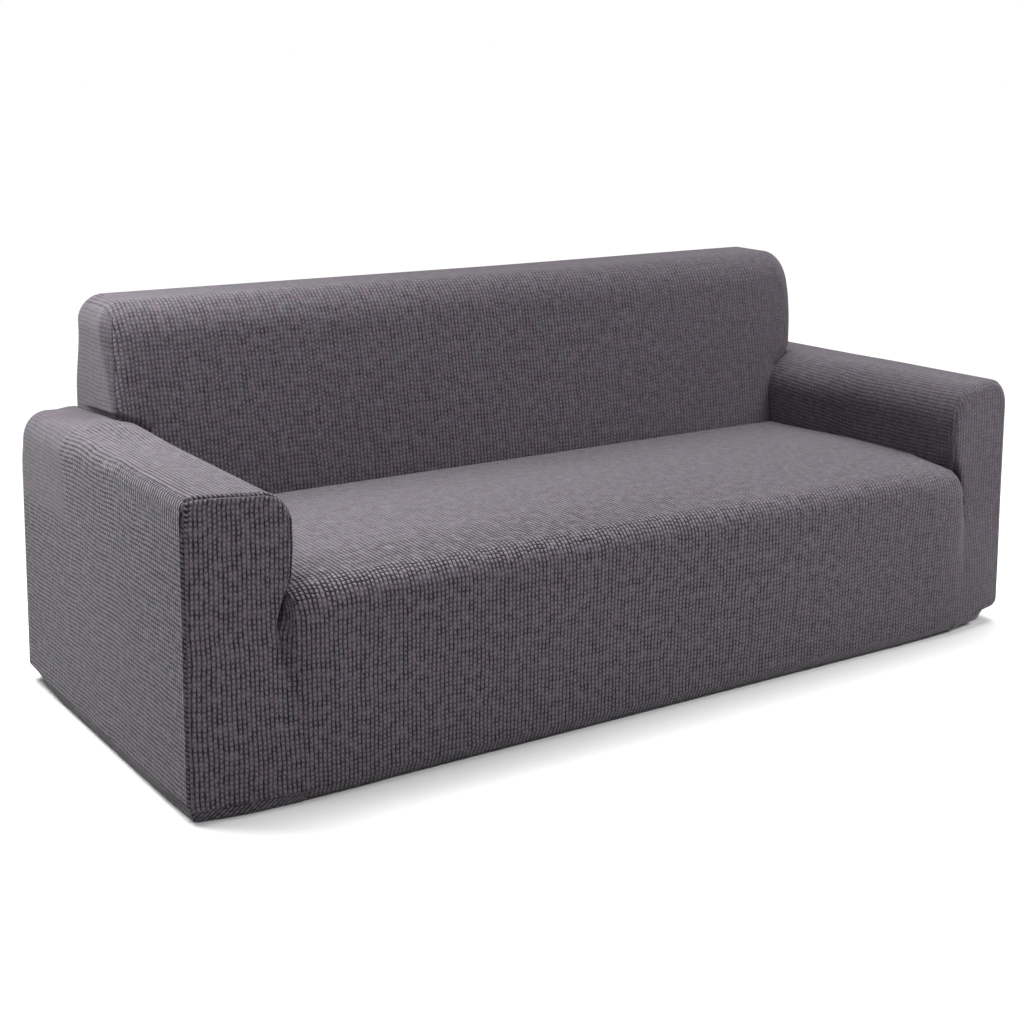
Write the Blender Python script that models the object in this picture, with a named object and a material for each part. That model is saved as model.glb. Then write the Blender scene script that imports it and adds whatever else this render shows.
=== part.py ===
"""A fitted stretch slipcover for a three-seat sofa, in the shape it takes on the sofa.

The cover is a hollow skin of nine sewn panels. Its form starts as the sofa's plain
blocks on one shared grid; the grid's points are then drawn onto the rounded blocks,
leant, pulled taut or let into folds, and the skin is cut along its seams into panels
of even thickness. Metres, +Z up, +X along the sofa's width, the front faces -Y. The
origin is under the middle of the back's top edge, where the sofa's back holds the
cover up.
"""

import math

import bmesh
import bpy
import numpy as np

# The sofa under the cover, measured from the arm fronts (y) and from the hem (z).
WIDTH = 2.10
REAR = 0.860
ARM_WIDTH = 0.218
ARM_HEIGHT = 0.570
SEAT_HEIGHT = 0.392
SEAT_REACH = 0.026  # how far the seat stands out in front of the arms
BACK_FRONT = 0.589  # where the seat meets the back
BACK_HEIGHT = 0.803
BACK_HALF = 0.922
RIGHT_BOW = 0.040  # how much further out the right arm's inner face stands
SIDE_SPARE = 0.003  # how much the outer sides stand out from the sofa's width
HEM_DROP = 0.0170  # how far the turned-under hem sags below the sides' lower edge
FOOT_DROP = 0.021  # the same at the front feet, in their gathered cloth
FOOT_PLACE = (0.955, 0.045)
FOOT_SIZE = (0.100, 0.085)

# Rounded edges.
R_ARM_OUTER = 0.035
R_ARM_INNER = 0.050
R_ARM_FRONT = 0.012
R_ARM_REAR = 0.018
R_ARM_REAR_TOP = 0.038
R_HEM = 0.010
R_SEAT_FRONT = 0.050
R_SEAT_SIDE = 0.018
R_BACK_TOP = 0.075
R_BACK_REAR = 0.050
R_BACK_SIDE = 0.028  # the upright edges of the back
R_BACK_CORNER = {"left": 0.065, "right": 0.050}  # its upper corners

# The cloth.
CLOTH = 0.0022
SEAM_GAP = 0.0003
HEM_RETURN = 0.050  # how far the hem reaches under the sofa

# Shallow waves where the cloth isn't quite taut: depth, and radians a metre along them.
SEAT_WAVE = (0.0030, 7.5)
APRON_WAVE = (0.0025, 9.0)
BACK_WAVE = (0.0030, 6.0)
EDGE_WAVE = (0.0022, 34.0)

HALF = WIDTH / 2
INNER = HALF - ARM_WIDTH
ORIGIN = (0.0, 0.776, BACK_HEIGHT - CLOTH)  # under the cloth at the middle of the back's top

CLOTH_COLOUR = "#6a656b"
CLOTH_ROUGHNESS = 0.95
PANELS = (
    "seat_panel", "back_panel", "back_end_left", "back_end_right", "arm_wrap_left",
    "arm_wrap_right", "arm_front_left", "arm_front_right", "rear_panel",
)


def clear_scene():
    for obj in list(bpy.data.objects):
        bpy.data.objects.remove(obj, do_unlink=True)


def smooth_step(low, high, value):
    t = np.clip((value - low) / (high - low), 0.0, 1.0)
    return t * t * (3 - 2 * t)


def hump(centre, half_width, value):
    """1 at the centre, falling smoothly to 0 at half_width to either side."""
    t = np.clip(np.abs(value - centre) / half_width, 0.0, 1.0)
    return 0.5 + 0.5 * np.cos(math.pi * t)


# ---------------------------------------------------------------- grid

def round_lines(edge, inward, radius, steps=2):
    """Grid lines that share out a quarter round evenly, from its edge inward."""
    angles = [math.pi / 4 * (1 - i / steps) for i in range(steps + 1)]
    return [edge + inward * radius * (1 - math.tan(a)) for a in angles]


def spread(start, end, count):
    """count lines between start and end, without the two ends."""
    return [start + (end - start) * (i + 1) / (count + 1) for i in range(count)]


def merged(lines, least=0.0045):
    """The lines in order, without those that nearly repeat another."""
    kept = []
    for value in sorted(lines):
        if not kept or value - kept[-1] > least:
            kept.append(value)
    return kept


def grid_lines():
    outer = [HALF - R_HEM] + round_lines(HALF, -1, R_ARM_OUTER) + spread(HALF - R_ARM_OUTER, BACK_HALF, 2)
    arm = [BACK_HALF, BACK_HALF - R_BACK_SIDE, INNER + 0.029, INNER]
    seat = [INNER - R_SEAT_SIDE] + spread(INNER - R_SEAT_SIDE, 0.70, 2) + spread(0.76, 0, 6)
    half = outer + arm + seat
    xs = merged(half + [-v for v in half] + [0.0])
    ys = merged(
        [-SEAT_REACH, -SEAT_REACH + 0.0205, 0.0, R_ARM_FRONT, R_SEAT_FRONT - SEAT_REACH]
        + [HEM_RETURN, 0.10]
        + spread(0.10, BACK_FRONT - R_SEAT_SIDE, 6)
        + [BACK_FRONT - R_SEAT_SIDE, BACK_FRONT]
        + round_lines(BACK_FRONT, 1, R_BACK_TOP)
        + spread(BACK_FRONT + R_BACK_TOP, REAR - R_BACK_REAR, 2)
        + round_lines(REAR, -1, R_BACK_REAR)
    )
    zs = merged(
        [0.0, R_HEM, 0.055]
        + spread(0.055, SEAT_HEIGHT - R_SEAT_FRONT, 4)
        + round_lines(SEAT_HEIGHT, -1, R_SEAT_FRONT)
        + [0.43, 0.475]
        + round_lines(ARM_HEIGHT, -1, R_ARM_INNER)
        + [0.60]
        + spread(0.60, BACK_HEIGHT - R_BACK_TOP, 3)
        + round_lines(BACK_HEIGHT, -1, R_BACK_TOP)
    )
    return [np.array(lines) for lines in (xs, ys, zs)]


def block_at(x, y, z):
    """Which of the sofa's plain blocks holds this point, if any."""
    side = abs(x)
    if not (0 < z and side < HALF and y < REAR):
        return None
    if side < BACK_HALF and y > BACK_FRONT and z < BACK_HEIGHT and (z > ARM_HEIGHT or side < INNER):
        return "back"
    if side > INNER and y > 0 and z < ARM_HEIGHT:
        return "arm"
    if side < INNER and -SEAT_REACH < y < BACK_FRONT and z < SEAT_HEIGHT:
        return "seat"
    return None


def under_hem(x, y):
    """Whether the cover reaches under the sofa here: the turned hem and the feet."""
    side = abs(x)
    front_foot = side > INNER + 0.028 and y < 0.10
    return side > HALF - R_ARM_OUTER or y < HEM_RETURN or y > REAR - R_BACK_REAR or front_foot


def panel_of(block, axis, x, y, z):
    """The sewn panel, and the rounded form it is drawn onto, of one face of a block."""
    hand = "left" if x < 0 else "right"
    side = abs(x)
    if axis == "rear" or (axis == "under" and y > REAR - R_BACK_REAR):
        form = "arm" if side > BACK_HALF else ("back" if z > ARM_HEIGHT else "base")
        return "rear_panel", form
    if block == "seat":
        return "seat_panel", "seat"
    if block == "back":
        return (f"back_end_{hand}" if axis == "side" else "back_panel"), "back"
    if axis == "front" or (axis == "under" and y < 0.10):
        return f"arm_front_{hand}", "arm"
    return f"arm_wrap_{hand}", "arm"


def build_grid():
    """Points, faces (four point numbers, facing out), and each face's panel and form."""
    xs, ys, zs = grid_lines()
    mid = [(lines[1:] + lines[:-1]) / 2 for lines in (xs, ys, zs)]
    count = [len(m) for m in mid]
    blocks = {}
    for i in range(count[0]):
        for j in range(count[1]):
            for k in range(count[2]):
                block = block_at(mid[0][i], mid[1][j], mid[2][k])
                if block:
                    blocks[i, j, k] = block
    sides = (
        ("side", (-1, 0, 0), ((0, 0, 0), (0, 0, 1), (0, 1, 1), (0, 1, 0))),
        ("side", (1, 0, 0), ((1, 0, 0), (1, 1, 0), (1, 1, 1), (1, 0, 1))),
        ("front", (0, -1, 0), ((0, 0, 0), (1, 0, 0), (1, 0, 1), (0, 0, 1))),
        ("rear", (0, 1, 0), ((0, 1, 0), (0, 1, 1), (1, 1, 1), (1, 1, 0))),
        ("under", (0, 0, -1), ((0, 0, 0), (0, 1, 0), (1, 1, 0), (1, 0, 0))),
        ("top", (0, 0, 1), ((0, 0, 1), (1, 0, 1), (1, 1, 1), (0, 1, 1))),
    )
    numbers = {}
    points = []
    faces = []
    panels = []
    forms = []
    for (i, j, k), block in blocks.items():
        x, y, z = mid[0][i], mid[1][j], mid[2][k]
        for axis, step, corners in sides:
            if (i + step[0], j + step[1], k + step[2]) in blocks:
                continue
            if axis == "under" and not under_hem(x, y):
                continue
            face = []
            for a, b, c in corners:
                key = (i + a, j + b, k + c)
                if key not in numbers:
                    numbers[key] = len(points)
                    points.append((xs[key[0]], ys[key[1]], zs[key[2]]))
                face.append(numbers[key])
            panel, form = panel_of(block, axis, x, y, z)
            faces.append(face)
            panels.append(panel)
            forms.append(form)
    return np.array(points), np.array(faces), np.array(panels), np.array(forms)


# ---------------------------------------------------------------- rounded forms

def rounded_box(u, v, low, high, radii):
    """Distance to a rectangle with its own radius at each corner.

    radii holds the radius at (low u, low v), (high u, low v), (low u, high v), (high u, high v).
    """
    mid_u, mid_v = (low[0] + high[0]) / 2, (low[1] + high[1]) / 2
    half_u, half_v = (high[0] - low[0]) / 2, (high[1] - low[1]) / 2
    du, dv = u - mid_u, v - mid_v
    lower = np.where(du < 0, radii[0], radii[1])
    upper = np.where(du < 0, radii[2], radii[3])
    radius = np.where(dv < 0, lower, upper)
    qu = np.abs(du) - half_u + radius
    qv = np.abs(dv) - half_v + radius
    outside = np.hypot(np.maximum(qu, 0), np.maximum(qv, 0))
    return np.minimum(np.maximum(qu, qv), 0) + outside - radius


def cut_round(a, b, radius):
    """The distance to what lies inside both a and b, with the edge between them rounded."""
    qa, qb = a + radius, b + radius
    outside = np.hypot(np.maximum(qa, 0), np.maximum(qb, 0))
    return np.minimum(np.maximum(qa, qb), 0) + outside - radius


def arm_form(p):
    section = rounded_box(
        np.abs(p[:, 0]), p[:, 2], (INNER, 0.0), (HALF, ARM_HEIGHT),
        (0.001, R_HEM, R_ARM_INNER, R_ARM_OUTER),
    )
    past_seam = smooth_step(INNER + 0.01, INNER + 0.04, np.abs(p[:, 0]))
    apart = np.maximum(past_seam, smooth_step(0.15, 0.30, p[:, 2]))
    section = cut_round(section, -p[:, 1], 0.001 + (R_ARM_FRONT - 0.001) * apart)
    upper = smooth_step(ARM_HEIGHT - 0.12, ARM_HEIGHT - 0.03, p[:, 2])
    return cut_round(section, p[:, 1] - REAR, R_ARM_REAR + (R_ARM_REAR_TOP - R_ARM_REAR) * upper)


def seat_form(p):
    section = rounded_box(
        p[:, 1], p[:, 2], (-SEAT_REACH, 0.0), (BACK_FRONT, SEAT_HEIGHT),
        (R_HEM, 0.001, R_SEAT_FRONT, R_SEAT_SIDE),
    )
    radius = 0.001 + (R_SEAT_SIDE - 0.001) * smooth_step(0.02, 0.10, p[:, 2])
    return cut_round(section, np.abs(p[:, 0]) - INNER, radius)


def back_form(p):
    section = rounded_box(
        p[:, 1], p[:, 2], (BACK_FRONT, -0.5), (REAR, BACK_HEIGHT),
        (0.001, 0.001, R_BACK_TOP, R_BACK_REAR),
    )
    upper = smooth_step(BACK_HEIGHT - 0.20, BACK_HEIGHT - 0.05, p[:, 2])
    corner = np.where(p[:, 0] < 0, R_BACK_CORNER["left"], R_BACK_CORNER["right"])
    radius = R_BACK_SIDE + (corner - R_BACK_SIDE) * upper
    return cut_round(section, np.abs(p[:, 0]) - BACK_HALF, radius)


def base_form(p):
    return rounded_box(p[:, 1], p[:, 2], (-1.0, 0.0), (REAR, 2.0), (0.001, R_HEM, 0.001, 0.001))


FORMS = {"arm": arm_form, "seat": seat_form, "back": back_form, "base": base_form}


def slope(form, p, step=1e-5):
    grad = np.zeros_like(p)
    for axis in range(3):
        move = np.zeros(3)
        move[axis] = step
        grad[:, axis] = (form(p + move) - form(p - move)) / (2 * step)
    return grad / np.maximum(np.linalg.norm(grad, axis=1), 1e-9)[:, None]


def draw_onto_forms(points, faces, forms):
    """Moves each point onto the rounded forms of the faces round it."""
    member = {name: np.zeros(len(points), bool) for name in FORMS}
    for name in FORMS:
        member[name][faces[forms == name].ravel()] = True
    member["base"] &= ~(member["arm"] | member["back"])
    placed = points.copy()
    for _ in range(40):
        for name, form in FORMS.items():
            mine = member[name]
            p = placed[mine]
            placed[mine] = p - form(p)[:, None] * slope(form, p)
    return placed


# ---------------------------------------------------------------- the sofa's leans and the cloth's folds

def lean(points):
    """The blocks' slight leans: arms that narrow upward, a back that reclines."""
    x, y, z = points.T.copy()
    side = np.abs(x)
    up = np.clip(z / ARM_HEIGHT, 0, 1)
    outward = smooth_step(INNER, HALF, side)
    on_arm = smooth_step(INNER - 0.001, INNER + 0.001, side)
    x = x - np.sign(x) * 0.016 * up * outward
    flare = np.where(x < 0, 0.004, 0.011) * smooth_step(0.5, BACK_HALF, side)
    x = x + flare * smooth_step(ARM_HEIGHT, BACK_HEIGHT - 0.08, z)
    low_arm = smooth_step(0.45, ARM_HEIGHT, z) * (z < ARM_HEIGHT + 0.001)
    z = z - 0.012 * (1 - outward) * on_arm * low_arm
    right = points[:, 0] > 0
    z = z + right * on_arm * low_arm * np.interp(y, [0.0, REAR], [0.006, -0.008])
    rise = smooth_step(ARM_HEIGHT, BACK_HEIGHT, points[:, 2])
    z = z + 0.005 * smooth_step(0.0, BACK_HALF, points[:, 0]) * rise
    y = y + 0.019 * up * on_arm * (1 - smooth_step(0.0, 0.20, y))
    above = np.clip((points[:, 2] - SEAT_HEIGHT) / (BACK_HEIGHT - SEAT_HEIGHT), 0, 1)
    recline = 0.061 * above + 0.025 * above**2
    behind = (REAR - points[:, 1]) / (REAR - BACK_FRONT)
    ahead = smooth_step(BACK_FRONT - 0.15, BACK_FRONT, points[:, 1])
    y = y + recline * np.where(points[:, 1] > BACK_FRONT, behind, ahead)
    return np.column_stack([x, y, z])


def sidle(points):
    """Where the sides differ or bulge: the right arm's inner face, the cushion's front corners."""
    x, y, z = points.T.copy()
    side = np.abs(x)
    right = x > 0
    bow = RIGHT_BOW * right * (1 - smooth_step(0.30, BACK_FRONT, y))
    bow = bow * np.interp(side, [0.55, INNER, HALF], [0, 1, 0])
    spare = SIDE_SPARE * smooth_step(INNER, HALF, side)
    corner = np.interp(z, [0.16, 0.23, 0.31, 0.36, SEAT_HEIGHT, 0.45], [0, 0.018, 0.038, 0.030, 0.014, 0])
    corner = corner * (1 - smooth_step(0.0, 0.07, y)) * np.interp(side, [0.74, INNER, 0.96], [0, 1, 0])
    return np.column_stack([x + np.sign(x) * (bow + spare + corner), y, z])


def stretch(points, flat):
    """The taut cloth's crowns and hollows, and the hem drawn in under the sofa."""
    x, y, z = points.T.copy()
    side = np.abs(flat[:, 0])
    across = np.clip(side / INNER, 0, 1)
    seat_top = (side <= INNER + 0.001) & (np.abs(flat[:, 2] - SEAT_HEIGHT) < 0.04)
    z = z + np.where(seat_top, 0.010 * (1 - across**4) * hump(0.28, 0.34, flat[:, 1]), 0)
    front = np.where(side > INNER - 0.001, 0.0, -SEAT_REACH)
    inset = np.minimum(np.minimum(HALF - side, flat[:, 1] - front), REAR - flat[:, 1])
    under = flat[:, 2] < 0.001
    drawn_in = smooth_step(0.0, 0.010, inset)
    foot = hump(FOOT_PLACE[0], FOOT_SIZE[0], side) * hump(FOOT_PLACE[1], FOOT_SIZE[1], flat[:, 1])
    fade = 1 - smooth_step(REAR - 0.16, REAR, flat[:, 1])
    fade = fade * (1 - (flat[:, 0] > 0) * smooth_step(0.975, 1.02, side))
    z = z - under * drawn_in * fade * (HEM_DROP + (FOOT_DROP - HEM_DROP) * foot)
    z = z + under * (1 - drawn_in) * 0.004 * foot
    near_hem = 1 - smooth_step(0.0, 0.05, flat[:, 2])
    z = z + 0.010 * near_hem * smooth_step(HALF - 0.03, HALF, flat[:, 0])
    z = z + 0.010 * near_hem * smooth_step(REAR - 0.20, REAR, flat[:, 1])
    y = y - under * drawn_in * (inset < 0.02) * 0.006 * foot
    return np.column_stack([x, y, z])


def wave(kind, place, phase):
    """A shallow wave's height at each place along it."""
    depth, turns = kind
    return depth * np.sin(turns * place + phase)


def sag(points, flat):
    """Shallow waves on the seat, the apron, the back and the arms' outer top edges."""
    x, y, z = flat.T
    side = np.abs(x)
    waves = np.zeros_like(points)
    seat = (side < INNER) * hump(SEAT_HEIGHT, 0.02, z) * hump(0.30, 0.30, y)
    waves[:, 2] += seat * wave(SEAT_WAVE, x, 0.8) * np.cos(5.0 * y)
    apron = (side < INNER) * (y < 0.03) * hump(0.20, 0.20, z)
    waves[:, 1] += apron * wave(APRON_WAVE, x, 2.0)
    back = (np.abs(y - BACK_FRONT) < 0.02) * hump(0.62, 0.20, z) * hump(0.0, BACK_HALF, x)
    waves[:, 1] += back * wave(BACK_WAVE, x, 0.4)
    edge = smooth_step(HALF - 0.05, HALF - 0.01, side) * hump(0.45, 0.40, y)
    edge = edge * smooth_step(ARM_HEIGHT - 0.09, ARM_HEIGHT - 0.02, z) * (z < ARM_HEIGHT + 0.001)
    waves[:, 2] += edge * wave(EDGE_WAVE, y, 3.0 * x)
    return points + waves


def neighbours(faces, count):
    edges = np.concatenate([faces[:, [i, (i + 1) % 4]] for i in range(4)])
    edges = np.unique(np.sort(edges, axis=1), axis=0)
    return edges, np.bincount(edges.ravel(), minlength=count)


def relax_level(points, faces, weight, rounds):
    """Draws each point level towards the middle of its neighbours, as much as its weight says."""
    edges, degree = neighbours(faces, len(points))
    degree = np.maximum(degree, 1)
    points = points.copy()
    for _ in range(rounds):
        total = np.zeros((len(points), 2))
        np.add.at(total, edges[:, 0], points[edges[:, 1], :2])
        np.add.at(total, edges[:, 1], points[edges[:, 0], :2])
        points[:, :2] += weight[:, None] * (total / degree[:, None] - points[:, :2])
    return points


def join_low_front(points, faces, flat):
    """Below the seat cushion's corner the arm front and the apron are one stretched surface."""
    side = np.abs(flat[:, 0])
    low = (1 - smooth_step(0.12, 0.25, flat[:, 2])) * (flat[:, 1] < 0.03)
    outward = np.clip((side - 0.80) / (HALF - 0.80), 0, 1)
    ahead = SEAT_REACH * (1 - outward**2) * (1 - smooth_step(0.0, 0.03, flat[:, 1]))
    points = points.copy()
    points[:, 1] -= low * ahead * (side > INNER + 0.001)
    strip = low * (np.abs(side - INNER) < 0.001)
    points[:, 1] += strip * (0.9 * -SEAT_REACH - points[:, 1])
    upright = faces[flat[faces][:, :, 2].max(axis=1) > 0.001]
    moved = low * hump(INNER, 0.18, side)
    moved[np.setdiff1d(np.arange(len(flat)), upright)] = 0
    points = relax_level(points, upright, 0.6 * moved, 60)
    edge = np.zeros(len(flat), bool)
    edge[np.unique(upright)] = True
    turned = (flat[:, 2] < 0.001) & ~edge & (side < HALF - R_HEM - 0.001) & (flat[:, 1] < 0.10)
    edge &= (flat[:, 2] < 0.001) & (flat[:, 1] < 0.001)
    order = np.argsort(points[edge, 0])
    hem = np.interp(points[turned, 0], points[edge, 0][order], points[edge, 1][order])
    inset = flat[turned, 1] + SEAT_REACH * (side[turned] < INNER - 0.001)
    near = 1 - smooth_step(0.03, 0.10, flat[turned, 1])
    points[turned, 1] += near * (hem + inset - points[turned, 1])
    return points


# ---------------------------------------------------------------- cloth of even thickness

def unit(vectors):
    return vectors / np.maximum(np.linalg.norm(vectors, axis=1), 1e-12)[:, None]


def face_normals(points, faces):
    corners = points[faces]
    return unit(np.cross(corners[:, 2] - corners[:, 0], corners[:, 3] - corners[:, 1]))


def inward_offsets(points, faces, normals):
    """For each point the step that lies one cloth thickness inside every face round it."""
    count = len(points)
    matrix = np.zeros((count, 3, 3))
    right = np.zeros((count, 3))
    for corner in range(4):
        np.add.at(matrix, faces[:, corner], normals[:, :, None] * normals[:, None, :])
        np.add.at(right, faces[:, corner], -CLOTH * normals)
    matrix += 0.02 * np.eye(3)
    offset = np.linalg.solve(matrix, right[:, :, None])[:, :, 0]
    length = np.linalg.norm(offset, axis=1)
    return offset * np.minimum(1, 1.6 * CLOTH / length)[:, None]


def seam_offsets(points, faces, panels, normals):
    """{(panel, point): step away from the seams that the panel has at the point}."""
    owners = {}
    for number, face in enumerate(faces):
        for i in range(4):
            a, b = face[i], face[(i + 1) % 4]
            owners.setdefault((min(a, b), max(a, b)), []).append((number, a, b))
    away = {}
    for uses in owners.values():
        if len(uses) != 2 or panels[uses[0][0]] == panels[uses[1][0]]:
            continue
        (first, a, b), (second, _, _) = uses
        along = points[b] - points[a]
        facing = normals[first] + normals[second]
        across = np.cross(facing, along)
        across /= np.linalg.norm(across)
        for number, direction in ((first, across), (second, -across)):
            for point in (a, b):
                away.setdefault((panels[number], point), []).append(direction)
    offsets = {}
    for key, directions in away.items():
        matrix = np.array(directions)
        step = np.linalg.lstsq(matrix, np.full(len(matrix), SEAM_GAP / 2), rcond=0.05)[0]
        offsets[key] = step
    return offsets


def colour(hex_code):
    channels = [int(hex_code[i:i + 2], 16) / 255 for i in (1, 3, 5)]
    linear = [c / 12.92 if c <= 0.04045 else ((c + 0.055) / 1.055) ** 2.4 for c in channels]
    return (*linear, 1.0)


def cloth_material(name):
    material = bpy.data.materials.new(name)
    material.use_nodes = True
    shader = material.node_tree.nodes["Principled BSDF"]
    shader.inputs["Base Color"].default_value = colour(CLOTH_COLOUR)
    shader.inputs["Roughness"].default_value = CLOTH_ROUGHNESS
    shader.inputs["Metallic"].default_value = 0.0
    return material


def panel_object(name, points, inner, faces, offsets):
    """One closed solid: the panel's outer face, its inner face and the rim between them."""
    mesh = bpy.data.meshes.new(name)
    work = bmesh.new()
    used = np.unique(faces)
    outer_verts = {}
    inner_verts = {}
    for point in used:
        step = offsets.get((name, point), np.zeros(3))
        outer_verts[point] = work.verts.new(points[point] + step)
        inner_verts[point] = work.verts.new(inner[point] + step)
    rim = {}
    for face in faces:
        work.faces.new([outer_verts[p] for p in face])
        work.faces.new([inner_verts[p] for p in face[::-1]])
        for i in range(4):
            a, b = face[i], face[(i + 1) % 4]
            if (b, a) in rim:
                del rim[b, a]
            else:
                rim[a, b] = True
    for a, b in rim:
        corners = [outer_verts[b], outer_verts[a], inner_verts[a], inner_verts[b]]
        if a < b:
            corners = corners[1:] + corners[:1]
        work.faces.new([corners[0], corners[1], corners[2]])
        work.faces.new([corners[0], corners[2], corners[3]])
    work.to_mesh(mesh)
    work.free()
    mesh.shade_smooth()
    mesh.materials.append(cloth_material(name))
    obj = bpy.data.objects.new(name, mesh)
    bpy.context.scene.collection.objects.link(obj)
    return obj


def build():
    clear_scene()
    flat, faces, panels, forms = build_grid()
    points = draw_onto_forms(flat, faces, forms)
    points = lean(points)
    points = sidle(points)
    points = stretch(points, flat)
    points = sag(points, flat)
    points = join_low_front(points, faces, flat)
    points -= np.array(ORIGIN)
    normals = face_normals(points, faces)
    inner = points + inward_offsets(points, faces, normals)
    offsets = seam_offsets(points, faces, panels, normals)
    for name in PANELS:
        panel_object(name, points, inner, faces[panels == name], offsets)


build()
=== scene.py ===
"""Looks of a fitted stretch slipcover, in the shape it takes on a three-seat sofa.

Nine sewn panels of stretch jacquard are shaped as one skin: the sofa's plain blocks are
cut along one grid, drawn onto the rounded upholstery, leant and pulled taut, then
tucked, gathered and seamed, and parted along the seams. Metres, in the frame's axes.
"""

import math

import bmesh
import bpy
import numpy as np
from mathutils import Matrix, Vector


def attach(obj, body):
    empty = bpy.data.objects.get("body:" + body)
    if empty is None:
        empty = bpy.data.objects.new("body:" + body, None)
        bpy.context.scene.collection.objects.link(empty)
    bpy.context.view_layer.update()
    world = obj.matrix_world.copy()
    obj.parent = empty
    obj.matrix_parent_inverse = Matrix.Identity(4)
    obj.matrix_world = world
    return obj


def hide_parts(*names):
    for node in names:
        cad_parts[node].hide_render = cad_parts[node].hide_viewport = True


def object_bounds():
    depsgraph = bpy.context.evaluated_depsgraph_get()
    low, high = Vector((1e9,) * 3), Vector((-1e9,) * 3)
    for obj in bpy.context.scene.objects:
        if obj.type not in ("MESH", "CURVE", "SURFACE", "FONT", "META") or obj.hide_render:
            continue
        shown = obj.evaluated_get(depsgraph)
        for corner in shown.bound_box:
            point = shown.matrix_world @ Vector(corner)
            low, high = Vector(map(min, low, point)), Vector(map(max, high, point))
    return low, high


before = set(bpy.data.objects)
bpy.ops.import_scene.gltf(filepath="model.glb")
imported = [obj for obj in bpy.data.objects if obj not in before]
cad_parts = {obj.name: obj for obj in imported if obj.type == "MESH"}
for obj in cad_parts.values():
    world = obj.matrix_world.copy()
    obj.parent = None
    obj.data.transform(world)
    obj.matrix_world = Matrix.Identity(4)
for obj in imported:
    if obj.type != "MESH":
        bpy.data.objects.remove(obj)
cad_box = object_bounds()

# The sofa under the cover, measured from the arm fronts (y) and from the hem (z).
WIDTH = 2.10
REAR = 0.860
ARM_WIDTH = 0.218
ARM_HEIGHT = 0.570
SEAT_HEIGHT = 0.392
SEAT_REACH = 0.026  # how far the seat stands out in front of the arms
BACK_FRONT = 0.589  # where the seat meets the back
BACK_HEIGHT = 0.803
BACK_HALF = 0.922
RIGHT_BOW = 0.040  # how much further out the right arm's inner face stands
SIDE_SPARE = {"left": 0.003, "right": 0.015}  # how much the outer sides stand out from the width
HEM_DROP = 0.0170  # how far the turned-under hem sags below the sides' lower edge
FOOT_DROP = 0.021  # the same at the front feet, in their gathered cloth
FOOT_PLACE = (0.955, 0.045)
FOOT_SIZE = (0.100, 0.085)
FOOT_GATHER = (0.004, 0.006)  # how far that cloth rises at its outer edge, and stands out in front
HALF = WIDTH / 2
INNER = HALF - ARM_WIDTH

# Its leans, and the cloth's crown and rise over it.
ARM_NARROWING = 0.016  # how far an arm's outer side leans inward, up to its top
ARM_FRONT_LEAN = 0.019  # how far an arm's front leans back, up to its top
ARM_TOP_TILT = 0.012  # how much lower an arm's top lies at its inner edge
RIGHT_ARM_RISE = (0.006, -0.008)  # how much higher the right arm's top is at its front, and at its rear
BACK_FLARE = {"left": 0.004, "right": 0.021}  # how far the back's ends stand out above the arms
BACK_RISE = 0.005  # how much higher the back's top is at its right end
RECLINE = (0.061, 0.025)  # how far the back's top reclines: by an even lean, and by a bend
SEAT_CROWN = 0.010
HEM_RISE = 0.010  # how much higher the hem is at the right end, and at the rear

# Rounded edges.
R_ARM_OUTER = {"left": 0.026, "right": 0.062}  # the arms' outer top edges, at the front
R_ARM_OUTER_REAR = {"left": 0.054, "right": 0.062}  # the same at the rear
R_ARM_INNER = {"left": 0.060, "right": 0.100}
R_ARM_FRONT = {"left": 0.012, "right": 0.022}
R_ARM_FOOT = {"left": 0.022, "right": 0.034}  # the arms' lower outer corners, at the front
R_ARM_REAR = 0.018
R_ARM_REAR_TOP = 0.038
R_HEM = 0.010
R_SEAT_FRONT = 0.050
R_SEAT_CORNER = 0.085  # the same at the cushion's front corners
R_SEAT_SIDE = 0.018
R_BACK_TOP = 0.075
R_BACK_REAR = 0.050
R_BACK_SIDE = 0.028  # the upright edges of the back
R_BACK_CORNER = {"left": 0.065, "right": 0.050}  # its upper corners

# The cloth.
CLOTH = 0.0022
HEM_RETURN = 0.050  # how far the hem reaches under the sofa, at the front and the rear
HEM_SIDE = 0.035  # the same at the sides
ORIGIN = (0.0, 0.776, BACK_HEIGHT - CLOTH)  # under the cloth at the middle of the back's top

# Shallow waves where the cloth isn't quite taut: depth, and radians a metre along them.
SEAT_WAVE = (0.0030, 7.5)
APRON_WAVE = (0.0025, 9.0)
BACK_WAVE = (0.0030, 6.0)
EDGE_WAVE = (0.0022, 34.0)

# A sewn seam: a sunk line of stitches, and the turned allowance raised beside it.
SEAM_DEPTH = 0.0018
SEAM_HALF = 0.0045
ALLOWANCE_RISE = 0.0016
ALLOWANCE_PLACE = 0.0095
ALLOWANCE_HALF = 0.0075
BRIDGE_RISE = 0.015  # how far the arm's cloth climbs where it meets the back's corner
CREASE_DEPTH = 0.009  # how deep the cloth lies where the back rises from the arms
CREASE_HALF = 0.0045
PINCH_HALF = 0.006  # half the width of the slit where an arm's front meets the cushion
# How deep that slit goes, and its middle and half height; below it the cloth may ridge instead.
PINCH = {"left": (0.020, 0.345, 0.060), "right": (0.028, 0.362, 0.042)}
RIDGE = {"left": (0.0, 0.260, 0.030), "right": (0.007, 0.312, 0.034)}
# How far the cushion's front corners bulge outward, at each height.
BULGE_HEIGHTS = [0.10, 0.16, 0.20, 0.24, 0.28, 0.32, 0.36, 0.392, 0.45]
BULGE = {
    "left": [0, 0.002, 0.012, 0.022, 0.033, 0.036, 0.023, 0.007, 0],
    "right": [0.012, 0.024, 0.030, 0.036, 0.040, 0.040, 0.032, 0.014, 0],
}

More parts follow.
